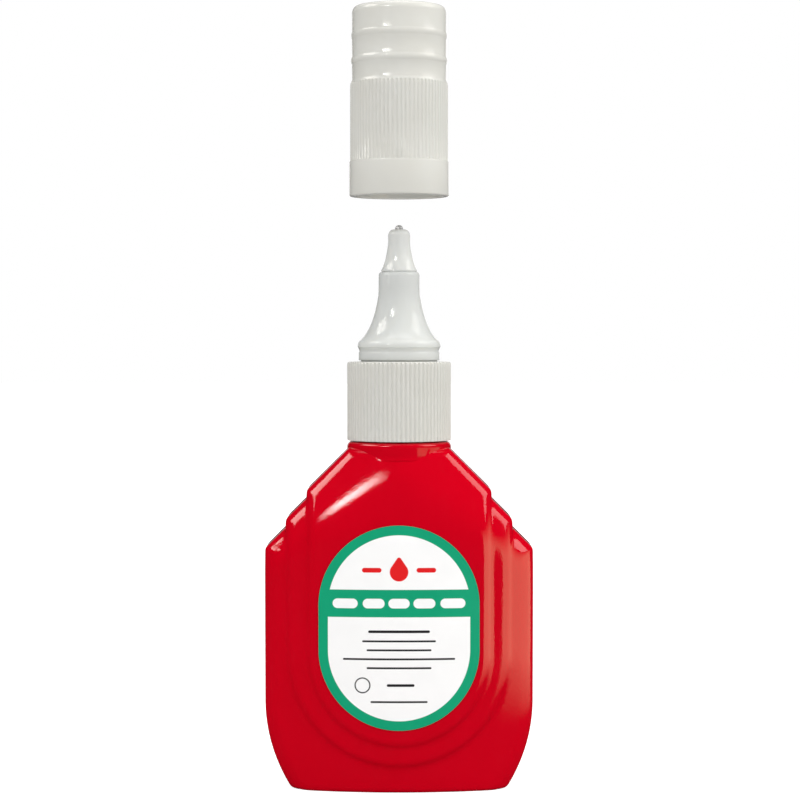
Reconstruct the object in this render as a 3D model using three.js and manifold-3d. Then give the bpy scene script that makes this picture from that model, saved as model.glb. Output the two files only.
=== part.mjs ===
// A squeeze bottle for correction fluid: a flat red shell with a screw collar, a nozzle with a
// sprung pin in its tip, and a push-on cap that is lifted off above it.
// Millimetres, Z up, origin in the middle of the base, front label towards -Y.

import * as THREE from "three";
import { mergeVertices } from "three/addons/utils/BufferGeometryUtils.js";
import Module from "manifold-3d";

const wasm = await Module();
wasm.setup();

// Bottle body: shield-shaped levels stacked on the front and on the back
const bodyHalfWidth = 21.25;
const bodyHalfDepth = 10.4;
const bodyHeight = 53.6;
const bodyWall = 1.2;
const levelCount = 3;
const levelSideStep = 3.3;
const levelDepthStep = 0.65;
const levelShoulderStep = 1.3;
const levelEdgeRadius = 1.4;
const outerEdgeRadius = 2.6;
const baseEdgeRadius = 0.8;
const leastEdgeRadius = 0.2;
const lowestStepHeight = 3.75;
const lowerCurveRadius = 25;
const lowerCurveHeight = 13.9;
const crownRadius = 58;
const frontLeanHeight = 11;
const frontLeanDepth = 1.7;

// Neck and its thread
const neckRingRadius = 8.3;
const neckRingHeight = 1.1;
const neckRadius = 6.4;
const neckBoreRadius = 4.9;
const neckLength = 9.9;
const threadPitch = 2.5;
const threadTurns = 1.5;
const threadDepth = 0.5;
const threadRootWidth = 1;
const threadCrestWidth = 0.6;
const neckThreadRise = 3.5;

// Collar
const collarRadius = 8.3;
const collarRoofThickness = 1.4;
const collarEdgeRadius = 0.45;
const collarGap = 0.3;
const ribCount = 72;
const ribDepth = 0.25;
const ribCrestShare = 0.42;

// Nozzle
const gasketThickness = 0.6;
const flangeThickness = 1;
const plugLength = 5.7;
const plugWall = 0.8;
const waistRadius = 6.1;
const nozzleBaseRadius = 6.48;
const grooveRadius = 6.38;
const beadRadius = 6.64;
const beadRise = 2.3;
const beadHeight = 0.6;
const stemRadius = 3.44;
const stemRise = 9.9;
const spigotRadius = 3.28;
const nozzleRise = 14.3;
const coneBoreRise = 3;

// Nozzle tip and the valve in it
const tipBaseRadius = 2.8;
const tipRadius = 1.76;
const tipLength = 6.75;
const tipPlugRadius = 2.35;
const tipPlugLength = 5;
const chamberRadius = 1.2;
const pinHoleLength = 0.85;
const pinRadius = 0.6;
const pinTailRadius = 0.45;
const pinProtrusion = 0.75;
const pinHeadHeight = 0.9;
const retainerRadius = 1.5;
const retainerThickness = 1.2;
const springWireRadius = 0.14;
const springCurls = 7;

// Cap
const capHeight = 30.3;
const capSkirtRadius = 7.95;
const capSkirtHeight = 6.2;
const capBandRadius = 7.8;
const capBandHeight = 12.3;
const capRadius = 7.52;
const capEdgeRadius = 0.45;
const capRoofThickness = 1.3;
const capBeadHeight = 1;
const capBeadDepth = 0.16;
const capLowerBeadRise = 21.3;
const capUpperBeadRise = 26;
const capMouthRadius = 6.8;
const capBoreRadius = 6.6;
const capMouthDepth = 5;
const capFittedGap = 0.3;
const capLift = 26;
const sealRadius = 3.1;
const sealFlangeThickness = 0.8;
const sealGrip = 2.45;

// Mixing ball and labels
const ballRadius = 2.8;
const labelHalfWidth = 12.5;
const labelHeight = 31.9;
const labelRise = 10.4;
const labelThickness = 0.15;

// Clearances
const threadClearance = 0.2;
const plugClearance = 0.2;
const turningClearance = 0.15;
const pressClearance = 0.1;
const chamberClearance = 0.2;
const pinClearance = 0.15;
const seatClearance = 0.2;
const sealClearance = 0.19;
const glueClearance = 0.05;
const ballClearance = 0.02;

// Facets
const roundSides = 36;
const smallSides = 24;
const wireSides = 5;
const curlSteps = 8;
const threadSteps = 24;
const curveSteps = 5;
const faceColumns = 6;
const edgeAngles = [90, 45, 0];
const mergeDistance = 0.008;

// Heights that follow from the sizes above
const neckRingTop = bodyHeight + neckRingHeight;
const neckTop = neckRingTop + neckLength;
const flangeBottom = neckTop + gasketThickness;
const flangeTop = flangeBottom + flangeThickness;
const collarBottom = neckRingTop + collarGap;
const collarTop = flangeTop + collarRoofThickness;
const nozzleTop = collarTop + nozzleRise;
const tipTop = nozzleTop + tipLength;
const plugBottom = flangeBottom - plugLength;
const tipPlugBottom = nozzleTop - tipPlugLength;
const retainerTop = tipPlugBottom + retainerThickness;
const pinTop = tipTop + pinProtrusion;
const capFittedBottom = collarTop + capFittedGap;
const capBottom = capFittedBottom + capLift;

// Radii that follow
const collarBoreRadius = neckRadius + threadDepth + threadClearance;
const flangeRadius = collarBoreRadius - threadClearance;
const plugRadius = neckBoreRadius - plugClearance;
const plugBoreRadius = plugRadius - plugWall;
const socketRadius = tipPlugRadius + pressClearance;
const retainerSeatRadius = retainerRadius + pressClearance;
const pinHoleRadius = pinRadius + pinClearance;
const pinHeadRadius = chamberRadius - chamberClearance;
const springRadius = (chamberRadius + pinTailRadius) / 2;

// A manifold solid from triangles, with shared corners joined and slivers of no area left out.
function solidOf(geometry) {
  const bare = geometry.index ? geometry.toNonIndexed() : geometry.clone();
  bare.deleteAttribute("normal");
  bare.deleteAttribute("uv");
  const merged = mergeVertices(bare, 1e-4);
  const corners = merged.index.array;
  const kept = [];
  for (let i = 0; i < corners.length; i += 3) {
    const [a, b, c] = corners.slice(i, i + 3);
    if (a !== b && b !== c && c !== a) kept.push(a, b, c);
  }
  return new wasm.Manifold(new wasm.Mesh({
    numProp: 3,
    vertProperties: new Float32Array(merged.attributes.position.array),
    triVerts: new Uint32Array(kept),
  }));
}

function solidFromTriangles(triangles) {
  const geometry = new THREE.BufferGeometry();
  const values = triangles.flatMap((point) => [point.x, point.y, point.z]);
  geometry.setAttribute("position", new THREE.Float32BufferAttribute(values, 3));
  return solidOf(geometry);
}

// A turned solid: the outline holds radius and height, up the outside.
function turned(outline, sides = roundSides) {
  const points = outline.map(([radius, height]) => new THREE.Vector2(radius, height));
  return solidOf(new THREE.LatheGeometry(points, sides).rotateX(Math.PI / 2));
}

function disc(radius, bottom, top, sides = roundSides) {
  return turned([[0, bottom], [radius, bottom], [radius, top], [0, top]], sides);
}

function ring(inner, outer, bottom, top, sides = roundSides) {
  return turned([[inner, bottom], [outer, bottom], [outer, top], [inner, top], [inner, bottom]], sides);
}

// Points of a quarter round from the outside of an edge to its top.
function roundedTop(radius, top, edge, steps = 2) {
  return Array.from({ length: steps + 1 }, (_, i) => {
    const angle = (i / steps) * (Math.PI / 2);
    return [radius - edge + edge * Math.cos(angle), top - edge + edge * Math.sin(angle)];
  });
}

function curved(from, control, to) {
  const curve = new THREE.QuadraticBezierCurve(
    new THREE.Vector2(...from),
    new THREE.Vector2(...control),
    new THREE.Vector2(...to),
  );
  return curve.getPoints(curveSteps).map((point) => [point.x, point.y]);
}

// A solid disc whose rim has upright ribs.
function ribbedDisc(radius, bottom, top) {
  const shape = new THREE.Shape();
  const pitch = (2 * Math.PI) / ribCount;
  for (let rib = 0; rib < ribCount; rib++) {
    const half = (pitch * ribCrestShare) / 2;
    const corners = [
      [radius - ribDepth, rib * pitch - pitch / 2 + half],
      [radius, rib * pitch - half],
      [radius, rib * pitch + half],
      [radius - ribDepth, rib * pitch + pitch / 2 - half],
    ];
    for (const [reach, angle] of corners) {
      const x = reach * Math.cos(angle);
      const y = reach * Math.sin(angle);
      if (shape.curves.length === 0 && rib === 0 && reach < radius && angle < 0) shape.moveTo(x, y);
      else shape.lineTo(x, y);
    }
  }
  shape.closePath();
  const geometry = new THREE.ExtrudeGeometry(shape, { depth: top - bottom, bevelEnabled: false });
  return solidOf(geometry.translate(0, 0, bottom));
}

// A right-hand helical ridge between a buried root and its crest.
function threadRidge(rootRadius, crestRadius, middleHeight) {
  const buried = rootRadius + Math.sign(rootRadius - crestRadius) * threadDepth / 2;
  const section = [
    [buried, -threadRootWidth / 2],
    [crestRadius, -threadCrestWidth / 2],
    [crestRadius, threadCrestWidth / 2],
    [buried, threadRootWidth / 2],
  ];
  if (crestRadius > rootRadius) section.reverse();
  const steps = Math.round(threadTurns * threadSteps);
  const rows = Array.from({ length: steps + 1 }, (_, step) => {
    const turn = step / threadSteps;
    const angle = 2 * Math.PI * turn;
    return section.map(([radius, height]) => new THREE.Vector3(
      radius * Math.cos(angle),
      radius * Math.sin(angle),
      middleHeight + height + threadPitch * (turn - threadTurns / 2),
    ));
  });
  return solidFromTriangles(sweptTriangles(rows));
}

// Triangles of a closed sweep: each row holds one section's corners, anticlockwise seen from ahead.
function sweptTriangles(rows) {
  const triangles = [];
  const sides = rows[0].length;
  for (let step = 0; step + 1 < rows.length; step++) {
    for (let side = 0; side < sides; side++) {
      const next = (side + 1) % sides;
      const [a, b] = [rows[step][side], rows[step][next]];
      const [c, d] = [rows[step + 1][next], rows[step + 1][side]];
      triangles.push(a, b, c, a, c, d);
    }
  }
  const [first, last] = [rows[0], rows[rows.length - 1]];
  for (let side = 1; side + 1 < sides; side++) {
    triangles.push(first[0], first[side + 1], first[side]);
    triangles.push(last[0], last[side], last[side + 1]);
  }
  return triangles;
}

// How far in the front face lies at a height: it leans back towards the neck at the top.
function lean(height) {
  const share = (height - (bodyHeight - frontLeanHeight)) / frontLeanHeight;
  return frontLeanDepth * Math.max(0, share) ** 2;
}

function levelDepth(level, x, height) {
  return bodyHalfDepth - level * levelDepthStep - (x * x) / (2 * crownRadius) - lean(height);
}

function levelHalfWidth(level) {
  return bodyHalfWidth - (levelCount - 1 - level) * levelSideStep;
}

// Right side of a level's outline from its top to its bottom, drawn in by an inset. All levels
// have 45 degree shoulders; the outer one stands on the base and the others end in a half round.
function levelOutline(level, inset) {
  const halfWidth = levelHalfWidth(level) - inset;
  const top = bodyHeight - inset;
  const shoulderSum = bodyHeight + neckRingRadius - level * levelShoulderStep - inset * Math.SQRT2;
  const points = [
    new THREE.Vector2(shoulderSum - top, top),
    new THREE.Vector2(halfWidth, shoulderSum - halfWidth),
  ];
  const path = new THREE.Path();
  if (level === levelCount - 1) {
    const radius = lowerCurveRadius - inset;
    const fall = Math.asin((lowerCurveHeight - inset) / radius);
    path.absarc(halfWidth - radius, lowerCurveHeight, radius, 0, -fall, true);
  } else {
    const centre = lowestStepHeight + levelHalfWidth(levelCount - 2);
    path.absarc(0, centre, halfWidth, 0, -Math.PI / 2, true);
  }
  return [...points, ...path.getPoints(curveSteps)];
}

// Draws an outline point in, square to the two edges that meet there.
function drawnIn(outline, index, inset) {
  const here = outline[index];
  const before = outline[index - 1];
  const after = outline[index + 1];
  const outward = (from, to) => new THREE.Vector2(from.y - to.y, to.x - from.x).normalize();
  const normals = [];
  if (before) normals.push(outward(before, here));
  if (after) normals.push(outward(here, after));
  if (!before && here.x > 1e-6) normals.push(new THREE.Vector2(0, 1));
  if (!after && here.x > 1e-6) normals.push(new THREE.Vector2(0, -1));
  if (normals.length === 1) normals.push(new THREE.Vector2(-normals[0].x, normals[0].y));
  const [a, b] = normals;
  return here.clone().addScaledVector(a.clone().add(b), -inset / (1 + a.dot(b)));
}

// A closed solid between a front and a back face, alike left and right. The outline is its
// right side from top to bottom. Each layer, from front to back, draws the outline in and
// gives its depth at a point; the first and the last are filled, in rows and columns.
function facedSolid(outline, layers) {
  const triangles = [];
  const rounds = layers.map(({ inset, depth }) => {
    const side = outline.map((point, i) => drawnIn(outline, i, inset(point)));
    const at = (x, height) => new THREE.Vector3(x, depth(x, height), height);
    const row = (point) => Array.from({ length: faceColumns + 1 }, (_, i) => (
      at(point.x * (1 - (2 * i) / faceColumns), point.y)
    ));
    const rows = side.map(row);
    const rightSide = rows.map((cells) => cells[0]);
    const leftSide = rows.map((cells) => cells[faceColumns]).reverse();
    const bottomEdge = rows[rows.length - 1].slice(1, -1);
    const topEdge = rows[0].slice(1, -1).reverse();
    return { rows, loop: [...rightSide, ...bottomEdge, ...leftSide, ...topEdge] };
  });
  for (let i = 0; i + 1 < rounds.length; i++) {
    const [front, back] = [rounds[i].loop, rounds[i + 1].loop];
    for (let j = 0; j < front.length; j++) {
      const k = (j + 1) % front.length;
      triangles.push(front[j], front[k], back[k], front[j], back[k], back[j]);
    }
  }
  const fill = (rows, flip) => {
    for (let i = 0; i + 1 < rows.length; i++) {
      for (let j = 0; j < faceColumns; j++) {
        const [a, b] = [rows[i][j], rows[i][j + 1]];
        const [c, d] = [rows[i + 1][j + 1], rows[i + 1][j]];
        if (flip) triangles.push(a, d, c, a, c, b);
        else triangles.push(a, b, c, a, c, d);
      }
    }
  };
  fill(rounds[0].rows, false);
  fill(rounds[rounds.length - 1].rows, true);
  return solidFromTriangles(triangles);
}

// One level of the body, or of its hollow, as a cushion with rounded edges.
function levelSolid(level, inset) {
  const outer = level === levelCount - 1;
  const full = Math.max((outer ? outerEdgeRadius : levelEdgeRadius) - inset, leastEdgeRadius);
  const foot = Math.min(baseEdgeRadius, full);
  const edgeRadius = (height) => (
    THREE.MathUtils.lerp(foot, full, THREE.MathUtils.smoothstep(height, inset + foot, lowerCurveHeight))
  );
  const layer = (side, degrees) => {
    const angle = THREE.MathUtils.degToRad(degrees);
    const inward = 1 - Math.cos(angle);
    const fall = 1 - Math.sin(angle);
    return {
      inset: (point) => edgeRadius(point.y) * inward,
      depth: (x, height) => (
        side * (levelDepth(level, x, height) - inset - edgeRadius(height) * fall)
      ),
    };
  };
  const front = edgeAngles.map((degrees) => layer(-1, degrees));
  const back = edgeAngles.map((degrees) => layer(1, degrees)).reverse();
  return facedSolid(levelOutline(level, inset), [...front, ...back]);
}

function bodySolid(inset) {
  const levels = Array.from({ length: levelCount }, (_, level) => levelSolid(level, inset));
  return levels.reduce((whole, level) => whole.add(level));
}

function bottleSolid() {
  const neckRoot = bodyHeight - 2 * bodyWall;
  const neck = turned([
    [0, neckRoot],
    [neckRingRadius, neckRoot],
    ...roundedTop(neckRingRadius, neckRingTop, neckRingHeight / 3),
    [neckRadius, neckRingTop],
    [neckRadius, neckTop],
    [0, neckTop],
  ]);
  const threadMiddle = neckRingTop + neckThreadRise + (threadPitch * threadTurns) / 2;
  const bore = disc(neckBoreRadius, neckRoot - bodyWall, neckTop + 1);
  return bodySolid(0)
    .add(neck)
    .add(threadRidge(neckRadius, neckRadius + threadDepth, threadMiddle))
    .subtract(bodySolid(bodyWall))
    .subtract(bore);
}

// Its thread runs half a pitch below the neck's.
function collarSolid() {
  const threadMiddle = neckRingTop + neckThreadRise + (threadPitch * (threadTurns - 1)) / 2;
  const envelope = turned([
    [0, collarBottom],
    [collarRadius, collarBottom],
    ...roundedTop(collarRadius, collarTop, collarEdgeRadius),
    [0, collarTop],
  ]);
  const hollow = disc(collarBoreRadius, collarBottom - 1, flangeTop);
  const hole = disc(waistRadius + turningClearance, flangeTop - 1, collarTop + 1);
  const crest = collarBoreRadius - threadDepth;
  return ribbedDisc(collarRadius, collarBottom, collarTop)
    .intersect(envelope)
    .subtract(hollow)
    .subtract(hole)
    .add(threadRidge(collarBoreRadius, crest, threadMiddle));
}

function nozzleSolid() {
  const ledge = collarTop + turningClearance;
  const groove = beadRise - beadHeight;
  return turned([
    [plugBoreRadius, plugBottom],
    [plugRadius - plugClearance, plugBottom],
    [plugRadius, plugBottom + 2 * plugClearance],
    [plugRadius, flangeBottom],
    [flangeRadius, flangeBottom],
    [flangeRadius, flangeTop],
    [waistRadius, flangeTop],
    [waistRadius, ledge],
    [nozzleBaseRadius, ledge],
    [nozzleBaseRadius, collarTop + groove - 0.3],
    [grooveRadius, collarTop + groove - 0.1],
    [grooveRadius, collarTop + groove + 0.3],
    [beadRadius, collarTop + beadRise],
    [beadRadius, collarTop + beadRise + beadHeight],
    ...curved(
      [waistRadius, collarTop + beadRise + 2 * beadHeight],
      [(waistRadius + stemRadius) / 2 - 0.5, collarTop + stemRise - 4.3],
      [stemRadius, collarTop + stemRise],
    ),
    [stemRadius, collarTop + stemRise + 0.9],
    [spigotRadius, collarTop + stemRise + 1.2],
    ...roundedTop(spigotRadius, nozzleTop, 0.4),
    [socketRadius, nozzleTop],
    [socketRadius, tipPlugBottom - 0.5],
    [plugBoreRadius, collarTop + coneBoreRise],
    [plugBoreRadius, plugBottom],
  ]);
}

function nozzleTipSolid() {
  const chamberTop = tipTop - pinHoleLength - (chamberRadius - pinHoleRadius);
  return turned([
    [retainerSeatRadius, tipPlugBottom],
    [tipPlugRadius, tipPlugBottom],
    [tipPlugRadius, nozzleTop],
    [tipBaseRadius, nozzleTop],
    ...curved(
      [tipBaseRadius, nozzleTop + 0.7],
      [tipRadius + 0.24, nozzleTop + 1.7],
      [tipRadius, nozzleTop + 4.4],
    ),
    ...roundedTop(tipRadius, tipTop, 0.5),
    [pinHoleRadius, tipTop],
    [pinHoleRadius, tipTop - pinHoleLength],
    [chamberRadius, chamberTop],
    [chamberRadius, retainerTop],
    [retainerSeatRadius, retainerTop],
    [retainerSeatRadius, tipPlugBottom],
  ], smallSides);
}

// The head's cone lies along the seat in the tip.
const pinHeadTop = tipTop - pinHoleLength - (pinHeadRadius - pinRadius) - seatClearance;
const pinHeadBottom = pinHeadTop - pinHeadHeight;

function valvePinSolid() {
  return turned([
    [0, tipPlugBottom + 0.2],
    [pinTailRadius, tipPlugBottom + 0.2],
    [pinTailRadius, pinHeadBottom],
    [pinHeadRadius, pinHeadBottom],
    [pinHeadRadius, pinHeadTop],
    [pinRadius, pinHeadTop + pinHeadRadius - pinRadius],
    ...roundedTop(pinRadius, pinTop, pinRadius, 4),
  ], smallSides);
}

// A pierced disc with three notches in its rim for the fluid.
function retainerSolid() {
  const body = ring(pinTailRadius + pinClearance, retainerRadius, tipPlugBottom, retainerTop, smallSides);
  const notches = [0, 1, 2].map((i) => {
    const angle = (i * 2 * Math.PI) / 3;
    const reach = retainerRadius + 0.1;
    return disc(0.45, tipPlugBottom - 1, retainerTop + 1, 12)
      .translate([reach * Math.cos(angle), reach * Math.sin(angle), 0]);
  });
  return notches.reduce((whole, notch) => whole.subtract(notch), body);
}

// The spring's coil, as centre-line points at equal steps of turn.
function springLine() {
  const bottom = retainerTop + springWireRadius + glueClearance;
  const top = pinHeadBottom - springWireRadius - glueClearance;
  return Array.from({ length: springCurls * curlSteps + 1 }, (_, step) => {
    const angle = (2 * Math.PI * step) / curlSteps;
    const share = step / (springCurls * curlSteps);
    return new THREE.Vector3(
      springRadius * Math.cos(angle),
      springRadius * Math.sin(angle),
      bottom + (top - bottom) * share,
    );
  });
}

function springSolid() {
  const line = springLine();
  const rise = line[1].z - line[0].z;
  const climb = Math.atan2(rise, (2 * Math.PI * springRadius) / curlSteps);
  const rows = line.map((centre) => {
    const outward = new THREE.Vector3(centre.x, centre.y, 0).normalize();
    const along = new THREE.Vector3(-outward.y, outward.x, Math.tan(climb)).normalize();
    const upward = along.clone().cross(outward).negate();
    return Array.from({ length: wireSides }, (_, side) => {
      const angle = (2 * Math.PI * side) / wireSides;
      return centre.clone()
        .addScaledVector(outward, springWireRadius * Math.cos(angle))
        .addScaledVector(upward, -springWireRadius * Math.sin(angle));
    });
  });
  return solidFromTriangles(sweptTriangles(rows));
}

// Least gap between two curls of the spring, measured on its centre line.
function leastCurlGap() {
  const line = springLine();
  let least = Infinity;
  for (let i = 0; i < line.length; i++) {
    for (let j = i + curlSteps / 2; j < line.length; j++) {
      least = Math.min(least, line[i].distanceTo(line[j]) - 2 * springWireRadius);
    }
  }
  return least;
}

function capBead(rise) {
  const third = capBeadHeight / 3;
  return [
    [capRadius, rise],
    [capRadius + capBeadDepth, rise + third],
    [capRadius + capBeadDepth, rise + 2 * third],
    [capRadius, rise + capBeadHeight],
  ];
}

// Heights in the cap and its seal are taken from the cap's rim.
function capSolid() {
  const bandTop = capSkirtHeight + capBandHeight;
  const outside = turned([
    [0, 0],
    [capSkirtRadius - 0.2, 0],
    [capSkirtRadius, 0.2],
    [capSkirtRadius, capSkirtHeight - 0.1],
    [capBandRadius - ribDepth, capSkirtHeight],
    [capBandRadius - ribDepth, bandTop],
    [capRadius, bandTop],
    ...capBead(capLowerBeadRise),
    ...capBead(capUpperBeadRise),
    ...roundedTop(capRadius, capHeight, capEdgeRadius),
    [0, capHeight],
  ]);
  const inside = turned([
    [0, -1],
    [capMouthRadius, -1],
    [capMouthRadius, capMouthDepth],
    [capBoreRadius, capMouthDepth + 0.4],
    [capBoreRadius, capHeight - capRoofThickness],
    [0, capHeight - capRoofThickness],
  ]);
  return outside
    .add(ribbedDisc(capBandRadius, capSkirtHeight, bandTop))
    .subtract(inside);
}

function capSealSolid() {
  const roof = capHeight - capRoofThickness;
  const mouth = tipTop - sealGrip - capFittedBottom;
  const well = pinTop - capFittedBottom + 2 * sealClearance;
  const bore = tipRadius + sealClearance;
  return turned([
    [bore + 0.2, mouth],
    [sealRadius, mouth],
    [sealRadius, roof - sealFlangeThickness],
    [capBoreRadius - pressClearance, roof - sealFlangeThickness],
    [capBoreRadius - pressClearance, roof],
    [0, roof],
    [0, well],
    [bore, well],
    [bore, mouth + 0.3],
    [bore + 0.2, mouth],
  ]);
}

// A thin stadium-shaped plate that follows the crown of the front level.
function labelSolid() {
  const path = new THREE.Path();
  const lower = labelRise + labelHalfWidth;
  const upper = labelRise + labelHeight - labelHalfWidth;
  path.absarc(0, upper, labelHalfWidth, Math.PI / 2, 0, true);
  path.absarc(0, lower, labelHalfWidth, 0, -Math.PI / 2, true);
  const layer = (raised) => ({
    inset: () => 0,
    depth: (x, height) => -(levelDepth(0, x, height) + raised),
  });
  return facedSolid(path.getPoints(curveSteps + 2), [
    layer(glueClearance + labelThickness),
    layer(glueClearance),
  ]);
}

// Looks
const redPlastic = { color: 0xd0021a, roughness: 0.22, metalness: 0 };
const whitePlastic = { color: 0xdad9d4, roughness: 0.35, metalness: 0 };
const clearPlastic = { color: 0xe2e2e0, roughness: 0.3, metalness: 0 };
const sealPlastic = { color: 0xf0efe8, roughness: 0.5, metalness: 0 };
const steel = { color: 0x9a9c9e, roughness: 0.3, metalness: 1 };
const printedFilm = { color: 0x02a478, roughness: 0.4, metalness: 0 };

const object = new THREE.Group();

function piece(name, solid, look, parent = object) {
  const { vertProperties, triVerts } = solid.simplify(mergeDistance).getMesh();
  const geometry = new THREE.BufferGeometry();
  geometry.setAttribute("position", new THREE.Float32BufferAttribute(vertProperties, 3));
  geometry.setIndex(new THREE.Uint32BufferAttribute(triVerts, 1));
  geometry.computeVertexNormals();
  const mesh = new THREE.Mesh(geometry, new THREE.MeshStandardMaterial(look));
  mesh.name = name;
  parent.add(mesh);
  return mesh;
}

piece("bottle", bottleSolid(), redPlastic);
piece("neck_gasket", ring(neckBoreRadius, neckRadius, neckTop, flangeBottom), sealPlastic);
piece("collar", collarSolid(), whitePlastic);
piece("nozzle", nozzleSolid(), clearPlastic);
piece("nozzle_tip", nozzleTipSolid(), clearPlastic);
piece("valve_pin", valvePinSolid(), steel);
piece("valve_spring", springSolid(), steel);
piece("spring_retainer", retainerSolid(), sealPlastic);

const ball = piece("mixing_ball", solidOf(new THREE.SphereGeometry(ballRadius, 16, 12)), steel);
ball.position.z = bodyWall + ballClearance + ballRadius;

const front = labelSolid();
piece("front_label", front, printedFilm);
piece("rear_label", front, printedFilm).rotation.z = Math.PI;

const cap = new THREE.Group();
cap.position.z = capBottom;
object.add(cap);
piece("cap", capSolid(), whitePlastic, cap);
piece("cap_seal", capSealSolid(), sealPlastic, cap);

console.log("least gap between spring curls", leastCurlGap().toFixed(2), "mm");
console.log("cap travel", capLift, "mm, collar rise per turn", threadPitch, "mm");

export default object;
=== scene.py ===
import bpy
import math
import time

import numpy as np
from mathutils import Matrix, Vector


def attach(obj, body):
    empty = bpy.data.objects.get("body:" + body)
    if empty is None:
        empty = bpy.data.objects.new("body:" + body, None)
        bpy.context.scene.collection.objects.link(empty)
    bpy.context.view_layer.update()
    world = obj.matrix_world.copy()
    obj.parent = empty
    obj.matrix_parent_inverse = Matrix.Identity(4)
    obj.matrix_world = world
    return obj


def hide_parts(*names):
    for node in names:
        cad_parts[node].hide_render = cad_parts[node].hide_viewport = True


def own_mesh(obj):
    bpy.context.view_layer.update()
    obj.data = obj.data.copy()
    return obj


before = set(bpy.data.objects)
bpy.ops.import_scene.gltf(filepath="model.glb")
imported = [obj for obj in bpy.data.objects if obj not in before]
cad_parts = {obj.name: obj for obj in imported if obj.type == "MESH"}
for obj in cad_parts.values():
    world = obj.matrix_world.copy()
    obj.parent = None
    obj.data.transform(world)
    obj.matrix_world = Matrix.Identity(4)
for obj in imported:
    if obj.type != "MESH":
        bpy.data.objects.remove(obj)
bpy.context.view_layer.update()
startTime = time.time()
mm = 0.001


def report(stage):
    print(f"{stage}: {time.time() - startTime:.0f} s")


def deselectAll():
    if bpy.context.object and bpy.context.object.mode != "OBJECT":
        bpy.ops.object.mode_set(mode="OBJECT")
    bpy.ops.object.select_all(action="DESELECT")


def makeActive(piece):
    deselectAll()
    piece.select_set(True)
    bpy.context.view_layer.objects.active = piece


# Camera at the photo's place: eye level with the foot of the nozzle, looking a little down
cameraSizes = {
    "distance": 347.5,
    "eyeHeight": 71.4,
    "aimHeight": 61.4,
    "sideways": 0.15,
    "frameHeight": 128.0,
    "sensorWidth": 36,
}


def makeCamera():
    s = cameraSizes
    place = Vector((s["sideways"], -s["distance"], s["eyeHeight"])) * mm
    aim = Vector((s["sideways"], 0, s["aimHeight"])) * mm
    bpy.ops.object.camera_add(location=place)
    camera = bpy.context.object
    camera.rotation_euler = (aim - place).to_track_quat("-Z", "Y").to_euler()
    camera.data.sensor_width = s["sensorWidth"]
    camera.data.lens = s["sensorWidth"] * s["distance"] / s["frameHeight"]
    camera.data.clip_start = 10 * mm
    bpy.context.scene.camera = camera


deselectAll()
makeCamera()


# Adds a node; an input is named with _ for each space, or by its number after a leading _
def put(tree, kind, settings=None, **inputs):
    node = tree.nodes.new("ShaderNode" + kind)
    for name, value in (settings or {}).items():
        setattr(node, name, value)
    for name, value in inputs.items():
        socket = node.inputs[int(name[1:]) if name[1:].isdigit() else name.replace("_", " ")]
        if isinstance(value, bpy.types.NodeSocket):
            tree.links.new(value, socket)
        else:
            socket.default_value = value
    return node


def calc(tree, operation, a, b=0.0, c=0.0):
    return put(tree, "Math", {"operation": operation}, _0=a, _1=b, _2=c).outputs[0]


def blendColours(tree, factor, a, b):
    return put(tree, "Mix", {"data_type": "RGBA"}, _0=factor, _6=a, _7=b).outputs[2]


def useGroup(tree, group, **inputs):
    return put(tree, "Group", {"node_tree": group}, **inputs).outputs


# The bare node tree of a material, a lamp or the world
def emptyTree(owner):
    owner.use_nodes = True
    owner.node_tree.nodes.clear()
    return owner.node_tree


def newMaterial(name):
    material = bpy.data.materials.new(name)
    tree = emptyTree(material)
    shader = put(tree, "BsdfPrincipled")
    put(tree, "OutputMaterial", Surface=shader.outputs[0])
    return material, tree, shader


def sRgb(red, green, blue):
    def linear(value):
        value /= 255
        return value / 12.92 if value <= 0.04045 else ((value + 0.055) / 1.055) ** 2.4
    return (linear(red), linear(green), linear(blue), 1)


def newGroup(name, inputs, outputs):
    group = bpy.data.node_groups.new(name, "ShaderNodeTree")
    for label, kind, value in inputs:
        socket = group.interface.new_socket(label, in_out="INPUT", socket_type=kind)
        socket.default_value = value
    for label, kind in outputs:
        group.interface.new_socket(label, in_out="OUTPUT", socket_type=kind)
    return group, group.nodes.new("NodeGroupInput"), group.nodes.new("NodeGroupOutput")


# Fine grain and slow waves of a moulded surface, as heights and a mottle mask
def makeMouldedSkin():
    group, given, result = newGroup(
        "mouldedSkin",
        [("Grain Size", "NodeSocketFloat", 0.0004), ("Wave Size", "NodeSocketFloat", 0.006),
         ("Wave Share", "NodeSocketFloat", 0.5)],
        [("Height", "NodeSocketFloat"), ("Mottle", "NodeSocketFloat")],
    )
    place = put(group, "TexCoord").outputs["Object"]
    grainScale = calc(group, "DIVIDE", 1.0, given.outputs["Grain Size"])
    waveScale = calc(group, "DIVIDE", 1.0, given.outputs["Wave Size"])
    grain = put(group, "TexNoise", Vector=place, Scale=grainScale, Detail=3.0).outputs["Fac"]
    waves = put(group, "TexNoise", Vector=place, Scale=waveScale, Detail=1.0).outputs["Fac"]
    waved = calc(group, "MULTIPLY", waves, given.outputs["Wave Share"])
    rest = calc(group, "SUBTRACT", 1.0, given.outputs["Wave Share"])
    height = calc(group, "MULTIPLY_ADD", grain, rest, waved)
    group.links.new(height, result.inputs["Height"])
    group.links.new(waves, result.inputs["Mottle"])
    return group


handlingMarks = {
    "streakScale": 900.0,
    "streakStretch": 0.18,
    "streakStart": 0.55,
    "streakFull": 0.75,
    "speckRim": 0.16,
    "speckCore": 0.04,
}


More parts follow.
